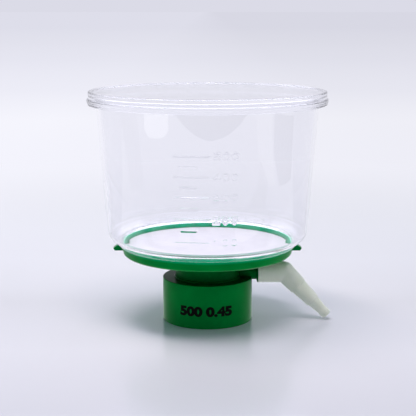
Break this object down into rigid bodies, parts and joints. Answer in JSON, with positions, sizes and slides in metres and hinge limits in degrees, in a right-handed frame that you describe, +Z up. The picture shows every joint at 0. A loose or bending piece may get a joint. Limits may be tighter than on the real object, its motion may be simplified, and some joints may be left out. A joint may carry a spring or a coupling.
{
  "type": "bottle-top vacuum filtration unit",
  "caption": "Clear graduated funnel with a lift-off lid on a green threaded base, with a membrane inside and an angled hose adapter at the side.",
  "frame": {"origin": "centre of the skirt's mouth, in the plane of its bottom rim, where the unit stands or meets its bottle", "axes": "+Z up along the funnel's axis, +X along the vacuum port, -Y is the graduated front"},
  "size_m": [0.132, 0.1288, 0.1254],
  "materials": {
    "clear_styrene": "clear moulded polystyrene, polished",
    "green_plastic": "opaque green moulded plastic, glossy",
    "membrane_white": "matt white filter membrane",
    "gasket_white": "soft white seal",
    "filter_fibre": "pressed white fibre",
    "adapter_white": "translucent white moulded polypropylene, satin"
  },
  "bodies": {
    "base_unit": {"base": "green_plastic", "funnel": "clear_styrene", "membrane": "membrane_white", "bottle_gasket": "gasket_white", "port_filter": "filter_fibre"},
    "lid": {"lid": "clear_styrene"},
    "hose_adapter": {"hose_adapter": "adapter_white"}
  },
  "joints": [
    {"name": "lid_lift", "type": "slide", "parent": "base_unit", "child": "lid", "axis": [0, 0, 1], "range_m": [0, 0.04]},
    {"name": "adapter_swivel", "type": "hinge", "parent": "base_unit", "child": "hose_adapter", "pos_m": [0.0277, 0, 0.0257], "axis": [1, 0, 0], "range_deg": [-126, 144]}
  ]
}
